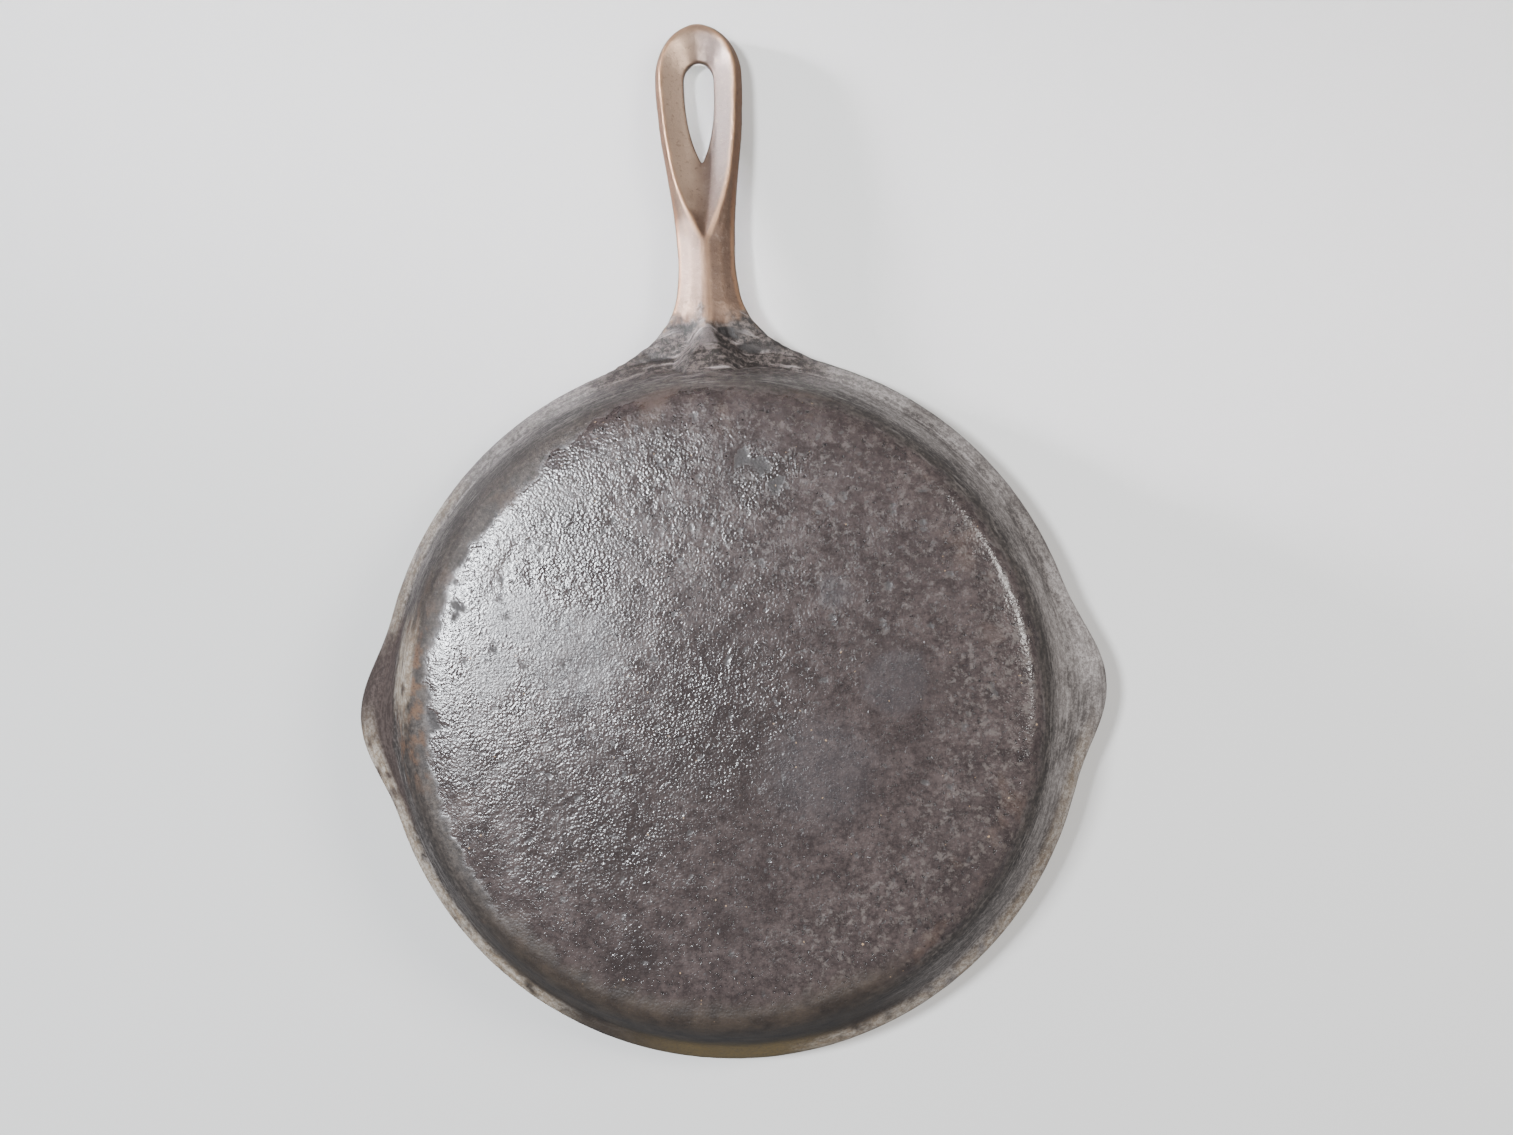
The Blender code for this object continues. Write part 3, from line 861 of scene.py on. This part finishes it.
class Finish:
    """A material's node tree, with short ways to add what this one needs."""

    def __init__(self, name):
        self.material = bpy.data.materials.new(name)
        self.material.use_nodes = True
        self.tree = self.material.node_tree
        self.shader = self.tree.nodes["Principled BSDF"]

    def put(self, value, socket):
        """Links a socket to the input, or sets the input to a number or a colour."""
        if isinstance(value, bpy.types.NodeSocket):
            self.tree.links.new(value, socket)
        elif isinstance(value, tuple) and len(value) == 3 and socket.type == "RGBA":
            socket.default_value = (*value, 1.0)
        else:
            socket.default_value = value

    def mark(self, name):
        node = self.tree.nodes.new("ShaderNodeAttribute")
        node.attribute_name = name
        return node.outputs["Fac"]

    def maths(self, operation, first, second=0.0):
        node = self.tree.nodes.new("ShaderNodeMath")
        node.operation = operation
        self.put(first, node.inputs[0])
        self.put(second, node.inputs[1])
        return node.outputs[0]

    def times(self, first, second):
        return self.maths("MULTIPLY", first, second)

    def ramp(self, value, low, high, start=0.0, end=1.0):
        """Start at low, end at high, with level ends."""
        node = self.tree.nodes.new("ShaderNodeMapRange")
        node.interpolation_type = "SMOOTHSTEP"
        for socket, number in zip(node.inputs[:5], (value, low, high, start, end)):
            self.put(number, socket)
        return node.outputs[0]

    def blend(self, share, first, second):
        """First at 0 and second at 1: two colours."""
        node = self.tree.nodes.new("ShaderNodeMix")
        node.data_type = "RGBA"
        self.put(share, node.inputs[0])
        self.put(first, node.inputs[6])
        self.put(second, node.inputs[7])
        return node.outputs[2]

    def level(self, share, first, second):
        """First at 0 and second at 1: two numbers."""
        node = self.tree.nodes.new("ShaderNodeMix")
        self.put(share, node.inputs[0])
        self.put(first, node.inputs[2])
        self.put(second, node.inputs[3])
        return node.outputs[0]

    def noise(self, vector, size, detail, roughness):
        node = self.tree.nodes.new("ShaderNodeTexNoise")
        self.put(vector, node.inputs["Vector"])
        node.inputs["Scale"].default_value = 1.0 / size
        node.inputs["Detail"].default_value = detail
        node.inputs["Roughness"].default_value = roughness
        return node.outputs["Fac"]

    def beads(self, vector, size):
        """Rounded grains, 1 at their tops."""
        node = self.tree.nodes.new("ShaderNodeTexVoronoi")
        node.feature = "SMOOTH_F1"
        self.put(vector, node.inputs["Vector"])
        node.inputs["Scale"].default_value = 1.0 / size
        node.inputs["Smoothness"].default_value = 0.4
        return self.maths("SUBTRACT", 1.0, node.outputs["Distance"])

    def vector(self, operation, first, second=None, output=0):
        node = self.tree.nodes.new("ShaderNodeVectorMath")
        node.operation = operation
        self.put(first, node.inputs[0])
        if second is not None:
            self.put(second, node.inputs[1])
        return node.outputs[output]

    def bump(self, height, distance):
        """Height from 0 to 1 over a distance in millimetres."""
        node = self.tree.nodes.new("ShaderNodeBump")
        node.inputs["Strength"].default_value = 1.0
        node.inputs["Distance"].default_value = distance * MM
        self.put(height, node.inputs["Height"])
        return node.outputs["Normal"]


# Colours, as a single one or as a dark and a light end
BASE = (0.032, 0.023, 0.022), (0.098, 0.072, 0.067)
BASE_DUSTY = (0.150, 0.128, 0.124)
BASE_PIT = (0.009, 0.007, 0.007)
BASE_COARSE = (0.026, 0.019, 0.018)
# Painted sheen: the blue-grey tint of the smooth patches
BASE_SLICK_SHEEN = (0.066, 0.062, 0.069)
BASE_SCOURED = (0.120, 0.094, 0.078)
BASE_FLAKED = (0.020, 0.016, 0.015)
SPECK = (0.420, 0.280, 0.170)
HEEL = (0.026, 0.020, 0.017), (0.085, 0.068, 0.057)
HEEL_GRIT = (0.170, 0.145, 0.125)
WALL = (0.026, 0.020, 0.017), (0.170, 0.146, 0.133)
WALL_DARK_STREAK = (0.036, 0.029, 0.025)
WALL_PALE_STREAK = (0.330, 0.300, 0.285)
BAND = (0.050, 0.040, 0.035), (0.170, 0.146, 0.130)
CHALK = (0.230, 0.202, 0.190), (0.480, 0.436, 0.414)
ASH = (0.300, 0.225, 0.155), (0.560, 0.490, 0.410)
RUST = (0.080, 0.040, 0.024), (0.280, 0.150, 0.080)
SOOT = (0.016, 0.012, 0.010), (0.135, 0.106, 0.095)
SOOT_PALE_STREAK = (0.380, 0.335, 0.320)
# Painted shade on the far side of the pan
FAR_SIDE_SHADE = (0.020, 0.013, 0.009), (0.062, 0.044, 0.030)
# Painted shade on the left spout
LEFT_SPOUT_SHADE = (0.050, 0.032, 0.027), (0.105, 0.074, 0.064)
# Painted glow on the far wall
PAINTED_GLOW = (0.120, 0.085, 0.036)
GUSSET = (0.090, 0.074, 0.070), (0.190, 0.160, 0.152)
# Painted shade in the hollows at the root
ROOT_SHADE = (0.014, 0.011, 0.010)
INSIDE = (0.016, 0.013, 0.012), (0.036, 0.030, 0.027)
BRONZE = (0.120, 0.072, 0.050), (0.200, 0.125, 0.088)
BRONZE_BLOTCH = (0.110, 0.074, 0.058)
# Painted light: the lit tone of the loop's left inner slope
BRONZE_LIT_TAN = (0.580, 0.405, 0.290)
# Painted reflection: the cool grey tint on the loop's right inner slope
BRONZE_COOL_REFLECTION = (0.120, 0.104, 0.103)
BRONZE_COPPER = (0.310, 0.158, 0.086)
BRONZE_PALE_GRIT = (0.300, 0.215, 0.165)
BRONZE_DARK_GRIT = (0.070, 0.042, 0.030)
# Painted highlight along the handle's convex edges
BRONZE_EDGE_HIGHLIGHT = (0.500, 0.300, 0.180)
UPPER = (0.040, 0.028, 0.023), (0.086, 0.060, 0.048)
# Painted highlight along the convex edges of the handle's top
UPPER_EDGE_HIGHLIGHT = (0.240, 0.160, 0.110)
WORN_GRIT = (0.045, 0.034, 0.030)

BUMP_HEIGHT = 0.12  # mm
BRONZE_METALLIC = 0.55
SPECULAR_LEVEL = 0.60


def streak_vector(f, mm):
    """Streaks run round the wall: slow along the bearing, quick up the profile."""
    flat = f.vector("MULTIPLY", mm, (1.0, 1.0, 0.0))
    radius = f.vector("LENGTH", flat, output=1)
    split = f.tree.nodes.new("ShaderNodeSeparateXYZ")
    f.put(mm, split.inputs[0])
    up_profile = f.maths("ADD", radius, f.times(split.outputs[2], 1.4))
    slow = f.vector("MULTIPLY", f.vector("NORMALIZE", flat), (30.0, 30.0, 0.0))
    combine = f.tree.nodes.new("ShaderNodeCombineXYZ")
    f.put(up_profile, combine.inputs[2])
    return f.vector("ADD", slow, combine.outputs[0])


def patterns(f):
    """The noises that the colours, the roughness and the bump share. Sizes are in millimetres."""
    n = SimpleNamespace()
    metres = f.tree.nodes.new("ShaderNodeTexCoord").outputs["Object"]
    mm = f.vector("MULTIPLY", metres, (1.0 / MM, 1.0 / MM, 1.0 / MM))
    streak_place = streak_vector(f, mm)
    streaks = f.noise(streak_place, 3.2, 5.0, 0.6)
    n.wide_streaks = f.noise(streak_place, 8.0, 4.0, 0.55)
    n.pale_streaks = f.ramp(streaks, 0.56, 0.68, 0.0, 0.8)
    n.gritty = f.noise(mm, 2.0, 6.0, 0.78)
    n.film = f.maths("ADD", f.times(streaks, 0.32), f.times(n.gritty, 0.68))
    n.grain = f.noise(mm, 0.7, 2.0, 0.6)
    n.pebbles = f.maths("ABSOLUTE", f.maths("SUBTRACT", f.noise(mm, 1.7, 2.0, 0.5), 0.5))
    n.beads = f.beads(mm, 0.95)
    n.beaded_areas = f.ramp(f.noise(mm, 16.0, 3.0, 0.6), 0.38, 0.60, 0.25, 0.70)
    pocks = f.ramp(f.noise(mm, 1.5, 3.0, 0.65), 0.42, 0.34)
    n.pocks = f.times(pocks, f.ramp(f.noise(mm, 7.0, 3.0, 0.6), 0.38, 0.58))
    n.blotches = f.noise(mm, 9.0, 5.0, 0.65)
    n.clouds = f.noise(mm, 42.0, 4.0, 0.5)
    n.specks = f.ramp(f.noise(mm, 2.2, 1.0, 0.5), 0.765, 0.80)
    n.scuffs = f.ramp(f.noise(mm, 3.0, 5.0, 0.75), 0.50, 0.66)
    n.crust = f.maths("ADD", f.times(n.blotches, 0.4), f.times(n.gritty, 0.6))
    n.scour = f.times(f.mark("scour"), n.scuffs)
    return n


def layered(f, colour, layers):
    """The colour with each layer over it: rows of how much, and which colour."""
    for share, over in layers:
        colour = f.blend(share, colour, over)
    return colour


def base_paint(f, n):
    """Colour and roughness of the carbonised base."""
    dark, light = BASE
    colour = layered(
        f,
        f.blend(f.ramp(n.crust, 0.40, 0.62), dark, light),
        [
            (f.ramp(n.clouds, 0.35, 0.7, 0.0, 0.5), dark),
            (f.times(f.ramp(n.grain, 0.52, 0.75), 0.30), BASE_DUSTY),
            (f.times(n.pocks, 0.85), BASE_PIT),
            (f.times(f.mark("coarse"), 0.60), BASE_COARSE),
            # painted sheen on the smooth patches
            (f.times(f.mark("slick"), 0.18), BASE_SLICK_SHEEN),
            (f.times(n.scour, 0.60), BASE_SCOURED),
            (f.times(f.mark("flake"), 0.80), BASE_FLAKED),
        ],
    )
    roughness = f.ramp(n.blotches, 0.25, 0.75, 0.14, 0.24)
    roughness = f.level(f.mark("slick"), roughness, 0.26)
    roughness = f.level(f.mark("flake"), roughness, 0.60)
    return colour, f.level(n.scour, roughness, 0.65)


def bronze_paint(f, n):
    """Colour of the handle: brown below, with a painted highlight along its convex edges, and dark on top.
    """
    upper = layered(
        f,
        f.blend(f.ramp(n.clouds, 0.3, 0.7), *UPPER),
        # painted highlight along the edges
        [(f.times(f.mark("edge"), 0.5), UPPER_EDGE_HIGHLIGHT)],
    )
    return layered(
        f,
        f.blend(f.ramp(n.clouds, 0.3, 0.7), *BRONZE),
        [
            (f.ramp(n.blotches, 0.5, 0.75, 0.0, 0.5), BRONZE_BLOTCH),
            # painted light and reflection on the loop's inner slopes
            (f.times(f.mark("tan"), 0.7), BRONZE_LIT_TAN),
            (f.times(f.mark("cool"), 0.5), BRONZE_COOL_REFLECTION),
            (f.times(f.mark("copper"), 0.9), BRONZE_COPPER),
            (f.ramp(n.gritty, 0.54, 0.66, 0.0, 0.45), BRONZE_PALE_GRIT),
            (f.ramp(n.gritty, 0.46, 0.36, 0.0, 0.45), BRONZE_DARK_GRIT),
            # painted highlight along the edges
            (f.mark("edge"), BRONZE_EDGE_HIGHLIGHT),
            (f.times(f.mark("upper"), 0.85), upper),
        ],
    )


def wall_paint(f, n):
    """Bare dark iron with dark and pale streaks round it."""
    return layered(
        f,
        f.blend(f.ramp(n.film, 0.45, 0.57), *WALL),
        [
            (f.ramp(n.wide_streaks, 0.5, 0.66, 0.0, 0.7), WALL_DARK_STREAK),
            (n.pale_streaks, WALL_PALE_STREAK),
        ],
    )


def paints(f, n):
    """What covers the bare wall, and the shade and glow painted on it: rows of mark, colour and roughness,
    each over the ones before.
    """
    base, base_rough = base_paint(f, n)
    heel = f.blend(f.ramp(n.film, 0.40, 0.62), *HEEL)
    heel = f.blend(f.ramp(n.gritty, 0.56, 0.70, 0.0, 0.5), heel, HEEL_GRIT)
    soot = f.blend(f.ramp(n.film, 0.46, 0.55), *SOOT)
    soot = f.blend(n.pale_streaks, soot, SOOT_PALE_STREAK)
    return [
        ("band", f.blend(f.ramp(n.film, 0.40, 0.62), *BAND), 0.55),
        ("heel", heel, 0.62),
        ("base", base, base_rough),
        ("chalk", f.blend(f.ramp(n.film, 0.42, 0.60), *CHALK), 0.78),
        ("soot", soot, f.ramp(n.blotches, 0.3, 0.7, 0.36, 0.60)),
        # painted shade on the far side
        ("far", f.blend(f.ramp(n.blotches, 0.3, 0.7), *FAR_SIDE_SHADE), 0.60),
        # painted shade on the left spout
        ("left_spout_shade", f.blend(f.ramp(n.film, 0.45, 0.57), *LEFT_SPOUT_SHADE), 0.60),
        # painted glow on the far wall
        ("painted_glow", PAINTED_GLOW, 0.45),
        ("rust", f.blend(f.ramp(n.grain, 0.3, 0.7), *RUST), 0.85),
        ("ash", f.blend(f.ramp(n.film, 0.42, 0.60), *ASH), 0.88),
        ("bronze", bronze_paint(f, n), f.ramp(n.blotches, 0.3, 0.7, 0.34, 0.44)),
        ("gusset", f.blend(f.ramp(n.grain, 0.35, 0.65), *GUSSET), 0.50),
        # painted shade in the hollows at the root
        ("hollow", ROOT_SHADE, 0.50),
        ("inside", f.blend(f.ramp(n.clouds, 0.3, 0.7), *INSIDE), f.ramp(n.blotches, 0.3, 0.7, 0.30, 0.42)),
    ]


def iron_relief(f, n):
    """Height of the fine texture: beads, pebbles and grain, less the pocks, and film off the base."""
    worked = f.maths("ADD", f.mark("bronze"), f.mark("inside"))
    rough_iron = f.maths("SUBTRACT", 1.0, f.times(worked, 0.62))
    beaded = f.maths("SUBTRACT", 1.0, f.times(f.mark("slick"), 0.6))
    beaded = f.times(beaded, n.beaded_areas)
    beaded = f.maths("ADD", beaded, f.times(f.mark("coarse"), 0.5))
    relief = f.maths("ADD", f.times(n.beads, beaded), f.times(n.pebbles, 1.3))
    relief = f.maths("ADD", relief, f.times(n.grain, 0.35))
    relief = f.maths("SUBTRACT", relief, f.times(n.pocks, 0.6))
    off_base = f.maths("SUBTRACT", 1.0, f.mark("base"))
    relief = f.maths("ADD", relief, f.times(f.times(n.film, off_base), 3.2))
    return f.times(relief, rough_iron)


def casting_finish():
    """The whole iron: bare wall, what covers it zone by zone with the painted shade and light among it,
    specks and wear over all.
    """
    f = Finish("weathered cast iron")
    n = patterns(f)
    colour, roughness = wall_paint(f, n), 0.70
    for name, paint, rough_value in paints(f, n):
        share = f.mark(name)
        colour = f.blend(share, colour, paint)
        roughness = f.level(share, roughness, rough_value)
    off_bronze = f.maths("SUBTRACT", 1.0, f.mark("bronze"))
    colour = f.blend(f.times(n.specks, f.mark("base")), colour, SPECK)
    worn = f.times(f.ramp(n.grain, 0.48, 0.66, 0.0, 0.45), off_bronze)
    colour = f.blend(worn, colour, WORN_GRIT)
    f.put(colour, f.shader.inputs["Base Color"])
    f.put(roughness, f.shader.inputs["Roughness"])
    f.put(f.times(f.mark("bronze"), BRONZE_METALLIC), f.shader.inputs["Metallic"])
    f.put(f.bump(iron_relief(f, n), BUMP_HEIGHT), f.shader.inputs["Normal"])
    f.shader.inputs["Specular IOR Level"].default_value = SPECULAR_LEVEL
    return f.material


# The stage: a floor seen from above, a backdrop behind the rim seen from below, and lights

STAGE_COLOUR = (0.74, 0.73, 0.71)
STAGE_GLOW = 0.22
FLOOR_SIZE = 60.0
FLOOR_HEIGHT = -0.0004
BACKDROP_SIZE = 1.6
BACKDROP_GAP = 0.004
SKY_COLOUR = (0.86, 0.90, 0.96)
SKY_STRENGTH = 0.34
SKY_TO_CAMERA = (0.70, 0.71, 0.72)

# Round lights: name, place, what it aims at, diameter, watts, colour and spread in degrees
LIGHTS = [
    ("window", (-0.48, -0.16, -1.12), (-0.06, -0.04, 0.0), 0.22, 23.0, (0.91, 0.95, 1.0), 180.0),
    ("window_side", (-1.15, -0.56, -0.28), (0.0, -0.215, 0.04), 0.22, 0.48, (0.93, 0.94, 1.0), 15.0),
    ("lamp", (0.80, -0.22, -0.90), (0.06, -0.04, 0.0), 0.40, 9.5, (1.0, 0.97, 0.93), 180.0),
    ("softbox", (-0.16, -0.22, 1.5), (0.0, -0.03, 0.03), 0.7, 30.0, (1.0, 1.0, 1.0), 180.0),
]


def one_sided(name):
    """Pale and matt to the camera on its front side, and clear to every other ray."""
    f = Finish(name)
    tree = f.tree
    tree.nodes.remove(f.shader)
    matt = tree.nodes.new("ShaderNodeBsdfDiffuse")
    matt.inputs["Color"].default_value = (*STAGE_COLOUR, 1.0)
    glow = tree.nodes.new("ShaderNodeEmission")
    glow.inputs["Color"].default_value = (*STAGE_COLOUR, 1.0)
    glow.inputs["Strength"].default_value = STAGE_GLOW
    shown = tree.nodes.new("ShaderNodeAddShader")
    f.put(matt.outputs[0], shown.inputs[0])
    f.put(glow.outputs[0], shown.inputs[1])
    clear = tree.nodes.new("ShaderNodeBsdfTransparent")
    rays = tree.nodes.new("ShaderNodeLightPath")
    side = tree.nodes.new("ShaderNodeNewGeometry")
    front = f.maths("SUBTRACT", 1.0, side.outputs["Backfacing"])
    seen = f.times(rays.outputs["Is Camera Ray"], front)
    mixed = tree.nodes.new("ShaderNodeMixShader")
    f.put(seen, mixed.inputs[0])
    f.put(clear.outputs[0], mixed.inputs[1])
    f.put(shown.outputs[0], mixed.inputs[2])
    f.put(mixed.outputs[0], tree.nodes["Material Output"].inputs["Surface"])
    return f.material


def stage_plane(name, size, height, faces_up):
    """A level square over the origin, with one pale side."""
    half = size / 2
    corners = [(-half, -half, height), (half, -half, height), (half, half, height), (-half, half, height)]
    mesh = bpy.data.meshes.new(name)
    mesh.from_pydata(corners, [], [(0, 1, 2, 3) if faces_up else (3, 2, 1, 0)])
    mesh.materials.append(one_sided("pale " + name))
    place(name, mesh)


def soft_light(name, where, aim, size, power, colour, spread):
    """A disk light, from a row of LIGHTS."""
    data = bpy.data.lights.new(name, "AREA")
    data.shape = "DISK"
    data.size = size
    data.energy = power
    data.color = colour
    data.spread = math.radians(spread)
    light = place(name, data)
    light.location = where
    light.rotation_euler = (Vector(aim) - Vector(where)).to_track_quat("-Z", "Y").to_euler()


def make_sky():
    """A dim even light on the object, and a pale background to the camera."""
    world = bpy.data.worlds.new("studio")
    world.use_nodes = True
    tree = world.node_tree
    light = tree.nodes["Background"]
    light.inputs["Color"].default_value = (*SKY_COLOUR, 1.0)
    light.inputs["Strength"].default_value = SKY_STRENGTH
    seen = tree.nodes.new("ShaderNodeBackground")
    seen.inputs["Color"].default_value = (*SKY_TO_CAMERA, 1.0)
    rays = tree.nodes.new("ShaderNodeLightPath")
    either = tree.nodes.new("ShaderNodeMixShader")
    tree.links.new(rays.outputs["Is Camera Ray"], either.inputs[0])
    tree.links.new(light.outputs[0], either.inputs[1])
    tree.links.new(seen.outputs[0], either.inputs[2])
    tree.links.new(either.outputs[0], tree.nodes["World Output"].inputs["Surface"])
    bpy.context.scene.world = world


def make_stage():
    object_top = max(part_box(node)[1].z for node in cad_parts)
    stage_plane("floor", FLOOR_SIZE, FLOOR_HEIGHT, True)
    stage_plane("backdrop", BACKDROP_SIZE, object_top + BACKDROP_GAP, False)
    make_sky()
    for light in LIGHTS:
        soft_light(*light)


def make_camera():
    """The camera under the base, looking up at it."""
    data = bpy.data.cameras.new("camera")
    data.lens = CAMERA_LENS
    data.clip_start = 0.01
    camera = place("camera", data)
    camera.location = CAMERA_PLACE
    camera.rotation_euler = CAMERA_TURN
    bpy.context.scene.camera = camera


def make_pan():
    pan = place("pan_casting", pan_mesh())

    def is_inside(places, normals):
        radius = np.hypot(places[:, 0], places[:, 1])
        inwards = (places[:, :2] * normals[:, :2]).sum(axis=1) < -0.3 * radius
        return (inwards & (places[:, 2] > 3.0)) | ((normals[:, 2] > 0.5) & (radius < RIM_RADIUS - 4.0))

    carve(pan, is_inside)
    return pan


def make_handle():
    handle = handle_object()
    places = vectors_of(handle.data.vertices, "co", len(handle.data.vertices)) / MM
    # Painted highlight: convex edges are marked to be painted lighter, less so round the hanging eye
    edge = np.clip(convexity(handle.data) / EDGE_CONVEXITY, 0.0, 1.0) * (0.15 + 0.85 * off_the_eye(places))
    set_mark(handle.data, "edge", edge)
    carve(handle, lambda places, normals: np.zeros(len(places)))
    return handle


pan = make_pan()
handle = make_handle()
iron = casting_finish()
for piece in (pan, handle):
    piece.data.materials.clear()
    piece.data.materials.append(iron)
    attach(piece, "root")
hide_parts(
    "pan_floor",
    "base_heel",
    "side_wall",
    "rim_band_handle_side",
    "rim_band_far_side",
    "pour_spout_left",
    "pour_spout_right",
)
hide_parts("handle_root", "handle_neck", "handle_loop")
make_stage()
make_camera()
